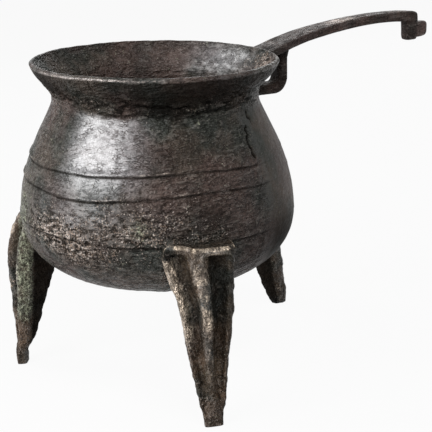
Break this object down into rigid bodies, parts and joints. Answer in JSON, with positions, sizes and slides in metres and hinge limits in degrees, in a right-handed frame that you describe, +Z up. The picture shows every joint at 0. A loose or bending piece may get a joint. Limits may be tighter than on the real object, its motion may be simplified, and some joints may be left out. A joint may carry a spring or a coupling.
{
  "type": "tripod cauldron",
  "caption": "Squat round cast-bronze cooking pot with a flared rim, raised fillets, ribbed wedge legs and an arched strap handle with a hooked end.",
  "frame": {"origin": "on the floor under the middle of the bounding box", "axes": "+X along the handle away from the bowl, +Z up, the soles stand on Z = 0"},
  "size_m": [0.2836, 0.179, 0.1907],
  "materials": {
    "bowl_bronze": "dark waxed patina over a pitted casting skin",
    "leg_bronze": "dark patina with green and brown deposits, rough",
    "handle_bronze": "dark brown patina, rubbed by use"
  },
  "bodies": {
    "root": {"bowl": "bowl_bronze", "leg_left": "leg_bronze", "leg_front": "leg_bronze", "leg_back": "leg_bronze", "handle_strap": "handle_bronze", "handle_brace": "handle_bronze", "handle_hook": "handle_bronze", "handle_knob": "handle_bronze"}
  },
  "joints": []
}
